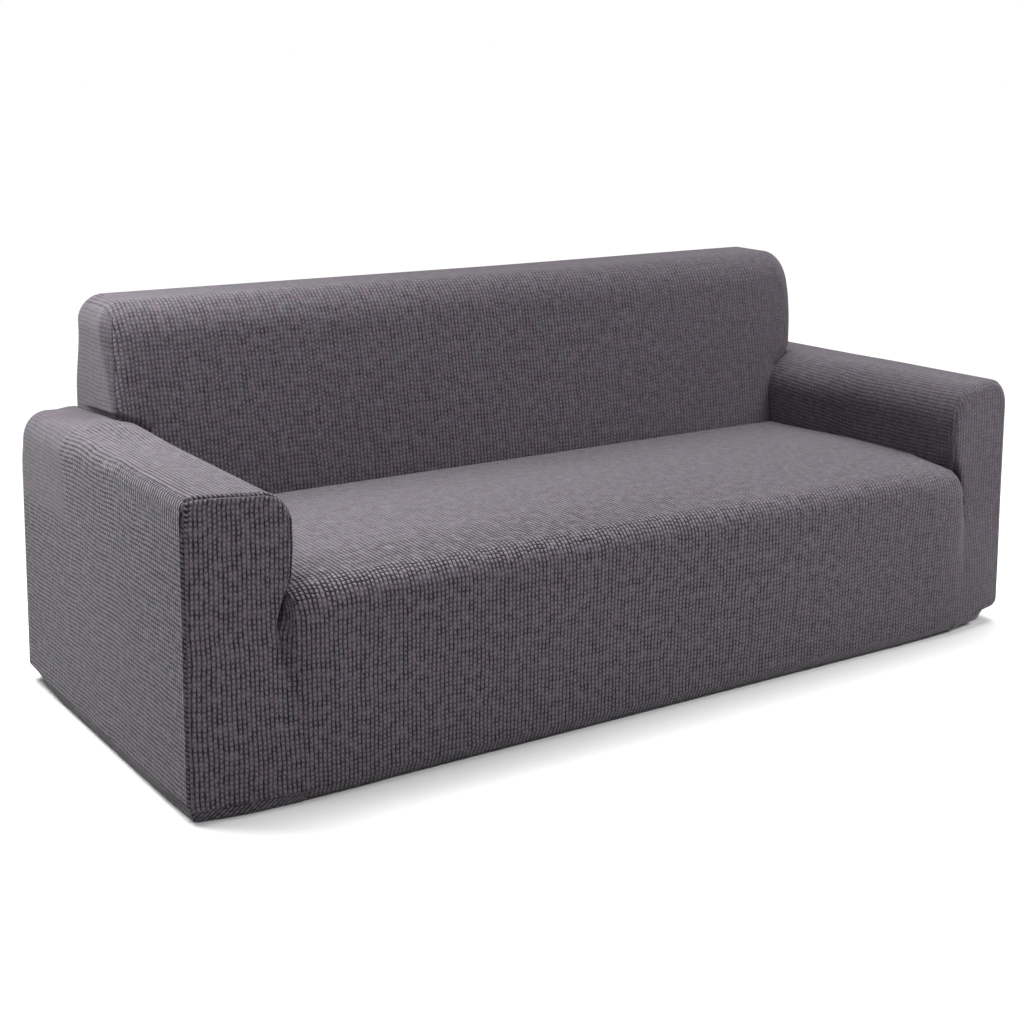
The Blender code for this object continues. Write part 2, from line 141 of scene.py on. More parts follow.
# The weave.
WALE_PITCH = 0.0089
ROW_PITCH = 0.0092
ROW_SHIFT = 0.50  # how far a wale's rows may lie from the next wale's, as a share of their pitch
WANDER = ((0.0909, 0.0030), (0.0125, 0.0014))  # size of the patches in which it drifts, and how far
PAD_HEIGHT = 0.0018
MEAN_SUNK = 0.55  # how deep the cloth lies on average, as a share of its pads' height
# The grooves between wales and between rows: their depth, and what a pull adds to it.
WALE_GROOVE = (0.92, -0.35)
ROW_GROOVE = (0.68, 0.35)
UNEVEN_PATCH = 0.01818  # size of the patches where the grooves are deeper or shallower
TONE_PATCH = 0.025  # size of the patches of warmer and cooler yarn
FUZZ_SIZE = 0.001923  # the yarn's fuzz, drawn coarser than it is so that it shows
WARM_YARN = "#796e77"
COOL_YARN = "#73707a"
# The shade that the pads cast into their grooves, painted into the cloth's colour.
GROOVE_SHADE = "#1b141a"

CELL = 0.027  # the grid's spacing before it is divided
DIVISIONS = 2
TINY = 1e-5

# Each panel as cut: the rectangle it comes out of (width, length), and its own area in it.
CUT = {
    "seat_panel": (1.68, 1.12, 1.84),
    "back_panel": (1.86, 0.70, 1.05),
    "back_end_left": (0.28, 0.24, 0.045),
    "back_end_right": (0.28, 0.24, 0.050),
    "arm_wrap_left": (1.02, 0.90, 0.74),
    "arm_wrap_right": (1.02, 0.90, 0.70),
    "arm_front_left": (0.24, 0.63, 0.14),
    "arm_front_right": (0.24, 0.63, 0.12),
    "rear_panel": (2.12, 0.90, 1.65),
}
PANELS = tuple(CUT)
FORM_NAMES = ("arm", "seat", "back", "base")


# ---------------------------------------------------------------- camera, light and floor

CAMERA_PLACE = (-2.106, -2.531, 1.310)  # from the arm fronts and the hem, as the sofa is
CAMERA_YAW = 34.34  # degrees from straight ahead towards +X
CAMERA_PITCH = -15.54
CAMERA_ROLL = 0.85
CAMERA_LENS = 58.8
SENSOR = 36.0
OVERHEAD = ((-0.10, -0.30, -1.0), 50, 3.5)  # its direction, spread in degrees, and strength
# Each softbox: its place and what it aims at, from the arm fronts and the hem, size, power and spread.
SOFTBOXES = {
    "near left": ((-1.40, 0.80, 1.80), (-1.0, 0.5, 0.5), (0.8, 1.2), 9.5, 90),
    "front left": ((-2.6, -1.2, 1.2), (-0.9, 0.2, 0.3), (1.0, 1.0), 9, 180),
    "front right": ((1.8, -2.0, 2.3), (0.3, 0.7, 0.5), (1.6, 1.6), 74, 180),
}
FLOOR_SIZE = 40.0
FLOOR_GAP = 0.0005
FLOOR_SEEN = "#ffffff"
FLOOR_LIT = "#b4b4b4"
MIX_A, MIX_B, MIX_RESULT = 6, 7, 2  # the colour sockets of a Mix node


def sofa_to_frame(place):
    """A place measured from the arm fronts and the hem, in the frame's axes."""
    return Vector(place) - Vector(ORIGIN)


def add_camera():
    """The camera before the sofa's left front corner, looking a little down on it."""
    yaw, pitch, roll = (math.radians(a) for a in (CAMERA_YAW, CAMERA_PITCH, CAMERA_ROLL))
    level_ahead = Vector((math.sin(yaw), math.cos(yaw), 0.0))
    ahead = math.cos(pitch) * level_ahead + math.sin(pitch) * Vector((0, 0, 1))
    level = Vector((math.cos(yaw), -math.sin(yaw), 0.0))
    upright = level.cross(ahead)
    right = math.cos(roll) * level + math.sin(roll) * upright
    up = math.cos(roll) * upright - math.sin(roll) * level
    data = bpy.data.cameras.new("camera")
    data.lens = CAMERA_LENS
    data.sensor_width = SENSOR
    camera = bpy.data.objects.new("camera", data)
    turn = Matrix((right, up, -ahead)).transposed().to_4x4()
    camera.matrix_world = Matrix.Translation(sofa_to_frame(CAMERA_PLACE)) @ turn
    bpy.context.scene.collection.objects.link(camera)
    bpy.context.scene.camera = camera


def aimed(start, direction):
    """The matrix of a light at the start that shines along the direction."""
    turn = Vector(direction).to_track_quat("-Z", "Y")
    return Matrix.LocRotScale(Vector(start), turn, None)


def add_softbox(name, place, target, size, power, spread):
    """A rectangular soft light at the place that shines towards the target."""
    data = bpy.data.lights.new(name, "AREA")
    data.shape = "RECTANGLE"
    data.size, data.size_y = size
    data.energy = power
    data.spread = math.radians(spread)
    light = bpy.data.objects.new(name, data)
    start, end = sofa_to_frame(place), sofa_to_frame(target)
    light.matrix_world = aimed(start, end - start)
    bpy.context.scene.collection.objects.link(light)


def add_overhead(name, direction, spread, power):
    """A wide soft light above: every place under it gets the same."""
    data = bpy.data.lights.new(name, "SUN")
    data.angle = math.radians(spread)
    data.energy = power
    light = bpy.data.objects.new(name, data)
    light.matrix_world = aimed((0, 0, 3), direction)
    bpy.context.scene.collection.objects.link(light)


def add_world():
    """A white studio that the camera sees; the lights alone light the cloth."""
    world = bpy.data.worlds.new("studio")
    world.use_nodes = True
    tree = world.node_tree
    tree.nodes.clear()
    seen = node(tree, "ShaderNodeLightPath").outputs["Is Camera Ray"]
    inputs = {"Color": colour("#ffffff"), "Strength": seen}
    white = node(tree, "ShaderNodeBackground", inputs=inputs)
    node(tree, "ShaderNodeOutputWorld", inputs={"Surface": white.outputs["Background"]})
    bpy.context.scene.world = world


def add_floor():
    """A pale floor: the camera sees it near white, and less light comes back off it onto the cloth."""
    work = bmesh.new()
    bmesh.ops.create_grid(work, x_segments=1, y_segments=1, size=FLOOR_SIZE)
    bmesh.ops.translate(work, verts=work.verts, vec=(0, 0, cad_box[0][2] - FLOOR_GAP))
    mesh = bpy.data.meshes.new("floor")
    work.to_mesh(mesh)
    work.free()
    floor = bpy.data.objects.new("floor", mesh)
    bpy.context.scene.collection.objects.link(floor)
    material = bpy.data.materials.new("white_studio_floor")
    material.use_nodes = True
    tree = material.node_tree
    seen = node(tree, "ShaderNodeLightPath").outputs["Is Camera Ray"]
    inputs = {"Factor": seen, MIX_A: colour(FLOOR_LIT), MIX_B: colour(FLOOR_SEEN)}
    pale = node(tree, "ShaderNodeMix", {"data_type": "RGBA"}, inputs).outputs[MIX_RESULT]
    shader = tree.nodes["Principled BSDF"]
    tree.links.new(pale, shader.inputs["Base Color"])
    shader.inputs["Roughness"].default_value = 0.9
    shader.inputs["Specular IOR Level"].default_value = 0.1
    floor.data.materials.append(material)


# ---------------------------------------------------------------- small helpers

def colour(hex_code):
    """An sRGB hex colour as a linear one."""
    channels = [int(hex_code[i:i + 2], 16) / 255 for i in (1, 3, 5)]
    linear = [c / 12.92 if c <= 0.04045 else ((c + 0.055) / 1.055) ** 2.4 for c in channels]
    return (*linear, 1.0)


def node(tree, kind, settings=None, inputs=None):
    """Adds a node; an input's value is a number, a colour, or another node's output."""
    made = tree.nodes.new(kind)
    for name, value in (settings or {}).items():
        setattr(made, name, value)
    for name, value in (inputs or {}).items():
        socket = made.inputs[name]
        if isinstance(value, bpy.types.NodeSocket):
            tree.links.new(value, socket)
        else:
            socket.default_value = value
    return made


def smooth_step(low, high, value):
    """0 below low and 1 above high, with an eased rise between them."""
    t = np.clip((value - low) / (high - low), 0.0, 1.0)
    return t * t * (3 - 2 * t)


def hump(centre, half_width, value):
    """1 at the centre, falling smoothly to 0 at half_width to either side."""
    t = np.clip(np.abs(value - centre) / half_width, 0.0, 1.0)
    return 0.5 + 0.5 * np.cos(math.pi * t)


# ---------------------------------------------------------------- the sofa's blocks, cut by one grid

def round_lines(edge, inward, radius, steps=3):
    """Grid lines that share out a quarter round evenly, from its edge inward."""
    angles = [math.pi / 4 * (1 - i / steps) for i in range(steps + 1)]
    return [edge + inward * radius * (1 - math.tan(a)) for a in angles]


def filled(lines, spacing):
    """The lines in order, without near repeats, and with the wide gaps between them shared out."""
    kept = []
    for value in sorted(lines):
        if not kept or value - kept[-1] > 0.0035:
            kept.append(value)
    full = kept[:1]
    for low, high in zip(kept, kept[1:]):
        count = max(1, round((high - low) / spacing))
        full += [low + (high - low) * (i + 1) / count for i in range(count)]
    return full


def beside_seam(edge, inward):
    """Close grid lines beside a seam, for its groove and its allowance."""
    return [edge + inward * step for step in (0.0, 0.004, 0.008, 0.0125, 0.0175)]


def grid_lines():
    """Where the blocks are cut: closely beside seams and on rounded edges, and evenly between them."""
    outer = beside_seam(HALF, -1) + round_lines(HALF, -1, R_ARM_OUTER["right"])
    arm = beside_seam(BACK_HALF, -1) + [BACK_HALF - R_BACK_SIDE] + beside_seam(INNER, 1)
    arm += [BACK_HALF + 0.005, BACK_HALF + 0.010]
    foot = [FOOT_PLACE[0] + 0.012 * i for i in range(-7, 6)]
    seat = [INNER - 0.006, INNER - R_SEAT_SIDE, INNER - 0.035, INNER - 0.055]
    half = outer + arm + foot + seat
    xs = filled(half + [-v for v in half] + [0.0], CELL)
    front = [-SEAT_REACH, -SEAT_REACH / 2, R_SEAT_FRONT - SEAT_REACH] + beside_seam(0.0, 1)
    rear = [HEM_RETURN, 0.10, BACK_FRONT - R_SEAT_SIDE, BACK_FRONT - 0.006] + beside_seam(BACK_FRONT, 1)
    rear += round_lines(BACK_FRONT, 1, R_BACK_TOP) + round_lines(REAR, -1, R_BACK_REAR)
    ys = filled(front + rear, CELL)
    low = [0.0, R_HEM, 0.03, 0.055] + round_lines(SEAT_HEIGHT, -1, R_SEAT_FRONT)
    high = round_lines(ARM_HEIGHT, -1, R_ARM_INNER["right"]) + beside_seam(ARM_HEIGHT, -1)
    high += [ARM_HEIGHT + 0.006, ARM_HEIGHT + 0.014]
    high += round_lines(BACK_HEIGHT, -1, R_BACK_TOP) + beside_seam(BACK_HEIGHT, -1)
    zs = filled(low + high, CELL)
    return xs, ys, zs


BLOCKS = (
    ((-INNER, -SEAT_REACH, 0.0), (INNER, BACK_FRONT, SEAT_HEIGHT)),
    ((-HALF, 0.0, 0.0), (-INNER, REAR, ARM_HEIGHT)),
    ((INNER, 0.0, 0.0), (HALF, REAR, ARM_HEIGHT)),
    ((-INNER, BACK_FRONT, 0.0), (INNER, REAR, ARM_HEIGHT)),
    ((-BACK_HALF, BACK_FRONT, ARM_HEIGHT), (BACK_HALF, REAR, BACK_HEIGHT)),
)


def in_a_block(place):
    """Whether the place lies inside the sofa."""
    return any(all(low[i] < place[i] < high[i] for i in range(3)) for low, high in BLOCKS)


def under_hem(x, y):
    """Whether the cover reaches under the sofa here: the turned hem and the feet."""
    side = abs(x)
    front_foot = side > INNER + 0.028 and y < 0.10
    return side > HALF - HEM_SIDE or y < HEM_RETURN or y > REAR - R_BACK_REAR or front_foot


def panel_and_form(place, normal):
    """The sewn panel of one face of the blocks, and the rounded form it is drawn onto."""
    x, y, z = place
    hand = "left" if x < 0 else "right"
    inside = place - normal * 1e-4
    side = abs(inside.x)
    under = normal.z < -0.5
    if normal.y > 0.5 or (under and y > REAR - R_BACK_REAR):
        return "rear_panel", "arm" if side > BACK_HALF else ("back" if z > ARM_HEIGHT else "base")
    if side < INNER and inside.y < BACK_FRONT:
        return "seat_panel", "seat"
    if inside.y > BACK_FRONT and (side < INNER or inside.z > ARM_HEIGHT):
        return (f"back_end_{hand}" if abs(normal.x) > 0.5 else "back_panel"), "back"
    if normal.y < -0.5 or (under and y < 0.10):
        return f"arm_front_{hand}", "arm"
    return f"arm_wrap_{hand}", "arm"


def cut_blocks():
    """The blocks' outer faces, cut by the grid, with each face's panel and form in its layers."""
    work = bmesh.new()
    for low, high in BLOCKS:
        low, high = Vector(low), Vector(high)
        bmesh.ops.create_cube(work, size=1.0, matrix=Matrix.LocRotScale((low + high) / 2, None, high - low))
    for axis, lines in enumerate(grid_lines()):
        across = Vector((0, 0, 0))
        across[axis] = 1.0
        for value in lines[1:-1]:
            geometry = work.verts[:] + work.edges[:] + work.faces[:]
            bmesh.ops.bisect_plane(work, geom=geometry, dist=1e-6, plane_co=across * value, plane_no=across)
    hidden = []
    for face in work.faces:
        middle = face.calc_center_median()
        covered = in_a_block(middle + face.normal * 1e-4)
        if covered or (face.normal.z < -0.5 and not under_hem(middle.x, middle.y)):
            hidden.append(face)
    bmesh.ops.delete(work, geom=hidden, context="FACES")
    bmesh.ops.remove_doubles(work, verts=work.verts[:], dist=1e-5)
    panel_layer = work.faces.layers.int.new("panel")
    form_layer = work.faces.layers.int.new("form")
    for face in work.faces:
        panel, form = panel_and_form(face.calc_center_median(), face.normal)
        face[panel_layer] = PANELS.index(panel)
        face[form_layer] = FORM_NAMES.index(form)
    bmesh.ops.subdivide_edges(work, edges=work.edges[:], cuts=DIVISIONS, use_grid_fill=True)
    number_layer = work.verts.layers.int.new("number")
    for number, vert in enumerate(work.verts):
        vert[number_layer] = number
    work.verts.index_update()
    return work


# ---------------------------------------------------------------- rounded forms

def rounded_box(u, v, low, high, radii):
    """Distance to a rectangle with its own radius at each corner.

    radii holds the radius at (low u, low v), (high u, low v), (low u, high v), (high u, high v).
    """
    mid_u, mid_v = (low[0] + high[0]) / 2, (low[1] + high[1]) / 2
    half_u, half_v = (high[0] - low[0]) / 2, (high[1] - low[1]) / 2
    du, dv = u - mid_u, v - mid_v
    lower = np.where(du < 0, radii[0], radii[1])
    upper = np.where(du < 0, radii[2], radii[3])
    radius = np.where(dv < 0, lower, upper)
    qu = np.abs(du) - half_u + radius
    qv = np.abs(dv) - half_v + radius
    outside = np.hypot(np.maximum(qu, 0), np.maximum(qv, 0))
    return np.minimum(np.maximum(qu, qv), 0) + outside - radius


def cut_round(a, b, radius):
    """The distance to what lies inside both a and b, with the edge between them rounded."""
    qa, qb = a + radius, b + radius
    outside = np.hypot(np.maximum(qa, 0), np.maximum(qb, 0))
    return np.minimum(np.maximum(qa, qb), 0) + outside - radius


def arm_form(p):
    """Distance to the arms' rounded form; the other forms below give theirs in the same way."""
    inner, outer, outer_rear, foot, front = (
        np.where(p[:, 0] < 0, radius["left"], radius["right"])
        for radius in (R_ARM_INNER, R_ARM_OUTER, R_ARM_OUTER_REAR, R_ARM_FOOT, R_ARM_FRONT)
    )
    outer = outer + (outer_rear - outer) * smooth_step(0.30, 0.80, p[:, 1])
    foot = R_HEM + (foot - R_HEM) * (1 - smooth_step(0.02, 0.15, p[:, 1]))
    section = rounded_box(
        np.abs(p[:, 0]), p[:, 2], (INNER, 0.0), (HALF, ARM_HEIGHT), (0.001, foot, inner, outer)
    )
    past_seam = smooth_step(INNER + 0.01, INNER + 0.04, np.abs(p[:, 0]))
    apart = np.maximum(past_seam, smooth_step(0.15, 0.30, p[:, 2]))
    section = cut_round(section, -p[:, 1], 0.001 + (front - 0.001) * apart)
    upper = smooth_step(ARM_HEIGHT - 0.12, ARM_HEIGHT - 0.03, p[:, 2])
    rear = R_ARM_REAR + (R_ARM_REAR_TOP - R_ARM_REAR) * upper
    clear = smooth_step(BACK_HALF, BACK_HALF + 0.06, np.abs(p[:, 0]))
    return cut_round(section, p[:, 1] - REAR, 0.001 + (rear - 0.001) * clear)


def seat_form(p):
    nose = R_SEAT_FRONT + (R_SEAT_CORNER - R_SEAT_FRONT) * smooth_step(INNER - 0.14, INNER, np.abs(p[:, 0]))
    section = rounded_box(
        p[:, 1], p[:, 2], (-SEAT_REACH, 0.0), (BACK_FRONT, SEAT_HEIGHT), (R_HEM, 0.001, nose, R_SEAT_SIDE)
    )
    radius = 0.001 + (R_SEAT_SIDE - 0.001) * smooth_step(0.02, 0.10, p[:, 2])
    return cut_round(section, np.abs(p[:, 0]) - INNER, radius)


def back_form(p):
    section = rounded_box(
        p[:, 1], p[:, 2], (BACK_FRONT, -0.5), (REAR, BACK_HEIGHT),
        (0.001, 0.001, R_BACK_TOP, R_BACK_REAR),
    )
    upper = smooth_step(BACK_HEIGHT - 0.20, BACK_HEIGHT - 0.05, p[:, 2])
    corner = np.where(p[:, 0] < 0, R_BACK_CORNER["left"], R_BACK_CORNER["right"])
    radius = R_BACK_SIDE + (corner - R_BACK_SIDE) * upper
    return cut_round(section, np.abs(p[:, 0]) - BACK_HALF, radius)


def base_form(p):
    return rounded_box(p[:, 1], p[:, 2], (-1.0, 0.0), (REAR, 2.0), (0.001, R_HEM, 0.001, 0.001))


FORMS = {"arm": arm_form, "seat": seat_form, "back": back_form, "base": base_form}


def slope(form, p, step=1e-5):
    """The direction in which the distance to the form grows."""
    grad = np.zeros_like(p)
    for axis in range(3):
        move = np.zeros(3)
        move[axis] = step
        grad[:, axis] = (form(p + move) - form(p - move)) / (2 * step)
    return grad / np.maximum(np.linalg.norm(grad, axis=1), 1e-9)[:, None]


def draw_onto_forms(points, member):
    """Moves each point onto the rounded forms of the faces round it."""
    member["base"] = member["base"] & ~(member["arm"] | member["back"])
    placed = points.copy()
    moving = np.ones(len(points), bool)
    for _ in range(40):
        before = placed.copy()
        for name, form in FORMS.items():
            mine = member[name] & moving
            p = placed[mine]
            placed[mine] = p - form(p)[:, None] * slope(form, p)
        moving = np.linalg.norm(placed - before, axis=1) > 2e-6
    return placed


# ---------------------------------------------------------------- the sofa's leans and the cloth's pull

def lean(points):
    """The blocks' slight leans: arms that narrow upward, a back that reclines."""
    x, y, z = points.T.copy()
    side = np.abs(x)
    up = np.clip(z / ARM_HEIGHT, 0, 1)
    outward = smooth_step(INNER, HALF, side)
    on_arm = smooth_step(INNER - 0.001, INNER + 0.001, side)
    x = x - np.sign(x) * ARM_NARROWING * up * outward
    flare = np.where(x < 0, BACK_FLARE["left"], BACK_FLARE["right"]) * smooth_step(0.5, BACK_HALF, side)
    x = x + flare * smooth_step(ARM_HEIGHT - 0.02, BACK_HEIGHT - 0.08, z)
    upper_arm = on_arm * smooth_step(0.45, ARM_HEIGHT, z) * (z < ARM_HEIGHT + 0.001)
    z = z - ARM_TOP_TILT * (1 - outward) * upper_arm
    right = points[:, 0] > 0
    z = z + right * upper_arm * np.interp(y, [0.0, REAR], RIGHT_ARM_RISE)
    rise = smooth_step(ARM_HEIGHT, BACK_HEIGHT, points[:, 2])
    z = z + BACK_RISE * smooth_step(0.0, BACK_HALF, points[:, 0]) * rise
    y = y + ARM_FRONT_LEAN * up * on_arm * (1 - smooth_step(0.0, 0.20, y))
    above = np.clip((points[:, 2] - SEAT_HEIGHT) / (BACK_HEIGHT - SEAT_HEIGHT), 0, 1)
    even, bent = RECLINE
    recline = even * above + bent * above**2
    behind = (REAR - points[:, 1]) / (REAR - BACK_FRONT)
    ahead = smooth_step(BACK_FRONT - 0.15, BACK_FRONT, points[:, 1])
    y = y + recline * np.where(points[:, 1] > BACK_FRONT, behind, ahead)
    return np.column_stack([x, y, z])


def sidle(points):
    """Where the sides differ or bulge: the right arm's inner face, the cushion's front corners."""
    x, y, z = points.T.copy()
    side = np.abs(x)
    right = x > 0
    bow = RIGHT_BOW * right * (1 - smooth_step(0.30, BACK_FRONT, y))
    bow = bow * np.interp(side, [0.55, INNER, HALF], [0, 1, 0])
    spare = np.where(right, SIDE_SPARE["right"], SIDE_SPARE["left"]) * smooth_step(INNER, HALF, side)
    corner = np.where(
        right, np.interp(z, BULGE_HEIGHTS, BULGE["right"]), np.interp(z, BULGE_HEIGHTS, BULGE["left"])
    )
    corner = corner * (1 - smooth_step(0.0, 0.07, y)) * np.interp(side, [0.74, INNER, 0.96], [0, 1, 0])
    return np.column_stack([x + np.sign(x) * (bow + spare + corner), y, z])


def stretch(points, flat):
    """The taut cloth's crowns and hollows, and the hem drawn in under the sofa."""
    x, y, z = points.T.copy()
    side = np.abs(flat[:, 0])
    across = np.clip(side / INNER, 0, 1)
    seat_top = (side <= INNER + 0.001) & (np.abs(flat[:, 2] - SEAT_HEIGHT) < 0.04)
    z = z + np.where(seat_top, SEAT_CROWN * (1 - across**4) * hump(0.28, 0.34, flat[:, 1]), 0)
    front = np.where(side > INNER - 0.001, 0.0, -SEAT_REACH)
    inset = np.minimum(np.minimum(HALF - side, flat[:, 1] - front), REAR - flat[:, 1])
    under = flat[:, 2] < 0.001
    drawn_in = smooth_step(0.0, 0.010, inset)
    foot = hump(FOOT_PLACE[0], FOOT_SIZE[0], side) * hump(FOOT_PLACE[1], FOOT_SIZE[1], flat[:, 1])
    fade = 1 - smooth_step(REAR - 0.16, REAR, flat[:, 1])
    fade = fade * (1 - (flat[:, 0] > 0) * smooth_step(0.950, 0.990, side))
    z = z - under * drawn_in * fade * (HEM_DROP + (FOOT_DROP - HEM_DROP) * foot)
    foot_rise, foot_reach = FOOT_GATHER
    z = z + under * (1 - drawn_in) * foot_rise * foot
    near_hem = 1 - smooth_step(0.0, 0.05, flat[:, 2])
    z = z + HEM_RISE * near_hem * smooth_step(0.60, 0.98, flat[:, 0])
    z = z + HEM_RISE * near_hem * smooth_step(REAR - 0.20, REAR, flat[:, 1])
    y = y - under * drawn_in * (inset < 0.02) * foot_reach * foot
    return np.column_stack([x, y, z])


def wave(kind, place, phase):
    """A shallow wave's height at each place along it."""
    depth, turns = kind
    return depth * np.sin(turns * place + phase)


def sag(points, flat):
    """Shallow waves on the seat, the apron, the back and the arms' outer top edges."""
    x, y, z = flat.T
    side = np.abs(x)
    waves = np.zeros_like(points)
    seat = (side < INNER) * hump(SEAT_HEIGHT, 0.02, z) * hump(0.30, 0.30, y)
    waves[:, 2] += seat * wave(SEAT_WAVE, x, 0.8) * np.cos(5.0 * y)
    apron = (side < INNER) * (y < 0.03) * hump(0.20, 0.20, z)
    waves[:, 1] += apron * wave(APRON_WAVE, x, 2.0)
    back = (np.abs(y - BACK_FRONT) < 0.02) * hump(0.62, 0.20, z) * hump(0.0, BACK_HALF, x)
    waves[:, 1] += back * wave(BACK_WAVE, x, 0.4)
    edge = smooth_step(HALF - 0.05, HALF - 0.01, side) * hump(0.45, 0.40, y)
    edge = edge * smooth_step(ARM_HEIGHT - 0.09, ARM_HEIGHT - 0.02, z) * (z < ARM_HEIGHT + 0.001)
    waves[:, 2] += edge * wave(EDGE_WAVE, y, 3.0 * x)
    return points + waves


def relax(points, edges, weight, rounds, axes):
    """Draws each point towards the middle of its neighbours, as much as its weight says."""
    degree = np.maximum(np.bincount(edges.ravel(), minlength=len(points)), 1)[:, None]
    points = points.copy()
    for _ in range(rounds):
        total = np.zeros((len(points), len(axes)))
        np.add.at(total, edges[:, 0], points[edges[:, 1]][:, axes])
        np.add.at(total, edges[:, 1], points[edges[:, 0]][:, axes])
        points[:, axes] += weight[:, None] * (total / degree - points[:, axes])
    return points


def join_low_front(points, edges, flat, on_upright):
    """Below the seat cushion's corner the arm front and the apron are one stretched surface."""
    side = np.abs(flat[:, 0])
    points = points.copy()
    # The arm front comes forward towards the apron, and the seam between them with it.
    low = (1 - smooth_step(0.10, 0.33, flat[:, 2])) * (flat[:, 1] < 0.03)
    outward = np.clip((side - 0.80) / (HALF - 0.80), 0, 1)
    ahead = SEAT_REACH * (1 - outward**2) * (1 - smooth_step(0.0, 0.03, flat[:, 1]))
    points[:, 1] -= low * ahead * (side > INNER + 0.001)
    strip = low * (np.abs(side - INNER) < 0.001)
    points[:, 1] += strip * (0.9 * -SEAT_REACH - points[:, 1])
    # The cloth evens out across the seam.
    moved = low * hump(INNER, 0.18, side) * on_upright
    both = np.isin(edges, np.flatnonzero(moved > 0)).any(axis=1) & on_upright[edges].all(axis=1)
    points = relax(points, edges[both], 0.6 * moved, 30 * (DIVISIONS + 1) ** 2, [0, 1])
    # The turned hem follows the lower edge.
    edge = on_upright & (flat[:, 2] < 0.001) & (flat[:, 1] < 0.001)
    turned = (flat[:, 2] < 0.001) & ~on_upright & (side < HALF - R_HEM - 0.001) & (flat[:, 1] < 0.10)
    order = np.argsort(points[edge, 0])
    hem = np.interp(points[turned, 0], points[edge, 0][order], points[edge, 1][order])
    inset = flat[turned, 1] + SEAT_REACH * (side[turned] < INNER - 0.001)
    near = 1 - smooth_step(0.03, 0.10, flat[turned, 1])
    points[turned, 1] += near * (hem + inset - points[turned, 1])
    return points


def bridge(points, flat):
    """Where the left arm meets the back's front corner, its taut cloth climbs a little."""
    x, y, z = flat.T
    behind = 1 - 0.85 * smooth_step(BACK_FRONT, REAR, y)
    along = np.where(y < BACK_FRONT, hump(BACK_FRONT, 0.17, y), behind)
    near = (x < 0) * hump(BACK_HALF, 0.09, np.abs(x)) * along
    level = 1 - smooth_step(0.0, 0.06, np.abs(z - ARM_HEIGHT))
    lifted = points.copy()
    lifted[:, 2] += BRIDGE_RISE * near * level
    return lifted


def crease(points, flat):
    """Sinks the cloth in the corner where the back rises from an arm's top, less towards the rear."""
    side, y, up = np.abs(flat[:, 0]), flat[:, 1], flat[:, 2] - ARM_HEIGHT
    over_arm = side > INNER - TINY
    to_back = np.hypot(np.maximum(side - BACK_HALF, 0), np.maximum(BACK_FRONT - y, 0))
    top = over_arm & (np.abs(up) < TINY)
    front = over_arm & (up > -TINY) & (np.abs(y - BACK_FRONT) < TINY) & (side < BACK_HALF + TINY)
    end = (up > -TINY) & (np.abs(side - BACK_HALF) < TINY) & (y > BACK_FRONT - TINY)
    depth = CREASE_DEPTH * (1 - smooth_step(0.68, 0.80, y))
    sunk = points.copy()
    sunk[:, 2] -= 0.25 * top * depth * hump(0.0, CREASE_HALF, to_back)
    sunk[:, 1] += front * depth * hump(0.0, CREASE_HALF, up)
    sunk[:, 0] -= end * np.sign(flat[:, 0]) * depth * hump(0.0, CREASE_HALF, up)
    return sunk


def soften(points, flat, own):
    """Rounds the cushion's front corners, and evens the back's cloth beside the arms' tops.

    own holds each panel's edges, and 1 at the points that no other panel shares.
    """
    x, y, z = np.abs(flat[:, 0]), flat[:, 1], flat[:, 2]
    rounds = (DIVISIONS + 1) ** 2
    corner = hump(INNER, 0.10, x) * (1 - smooth_step(0.03, 0.14, y)) * smooth_step(0.10, 0.20, z)
    edges, inside = own["seat_panel"]
    points = relax(points, edges, 0.5 * corner * inside, 14 * rounds, [0, 1, 2])
    beside = hump(INNER, 0.09, x) * hump(ARM_HEIGHT, 0.09, z)
    edges, inside = own["back_panel"]
    return relax(points, edges, 0.5 * beside * inside, 6 * rounds, [0, 1, 2])


def pinch(points, flat):
    """The deep slit between each arm's front and the cushion's corner, and the ridge below it."""
    x, y, z = flat.T
    to_seam = np.where(np.abs(x) > INNER, np.abs(x) - INNER, -y)
    front = (np.abs(x) > INNER - TINY) & (y < TINY)
    pinched = points.copy()
    for hand in PINCH:
        here = front & ((x < 0) == (hand == "left"))
        depth, middle, half = PINCH[hand]
        pinched[:, 1] += here * depth * hump(middle, half, z) * hump(0.0, PINCH_HALF, to_seam)
        rise, middle, half = RIDGE[hand]
        pinched[:, 1] -= here * rise * hump(middle, half, z) * hump(0.0, 2 * PINCH_HALF, to_seam)
    return pinched


# ---------------------------------------------------------------- seams

def seam_distance(flat):
    """How far each place on the blocks is from a seam, on an arm's wrap and on the other panels."""
    x, y, z = flat.T
    side = np.abs(x)
    wrap = np.full(len(flat), 1.0)
    other = np.full(len(flat), 1.0)
    arm = (side > INNER - TINY) & (z < ARM_HEIGHT + TINY) & ((z > SEAT_HEIGHT) | (side > INNER + TINY))
    front = arm & (y < TINY)
    wrap[arm & ~front] = y[arm & ~front]
    inner = np.where(z > SEAT_HEIGHT, side - INNER, 1.0)
    outline = np.minimum(np.minimum(HALF - side, ARM_HEIGHT - z), inner)
    other[front] = outline[front]
    high = (z > ARM_HEIGHT + TINY) & (z < BACK_HEIGHT - TINY)
    end = high & (side > BACK_HALF - TINY) & (y < REAR - TINY)
    other[end] = y[end] - BACK_FRONT
    face = high & (np.abs(y - BACK_FRONT) < TINY)
    other[face] = BACK_HALF - side[face]
    return wrap, other


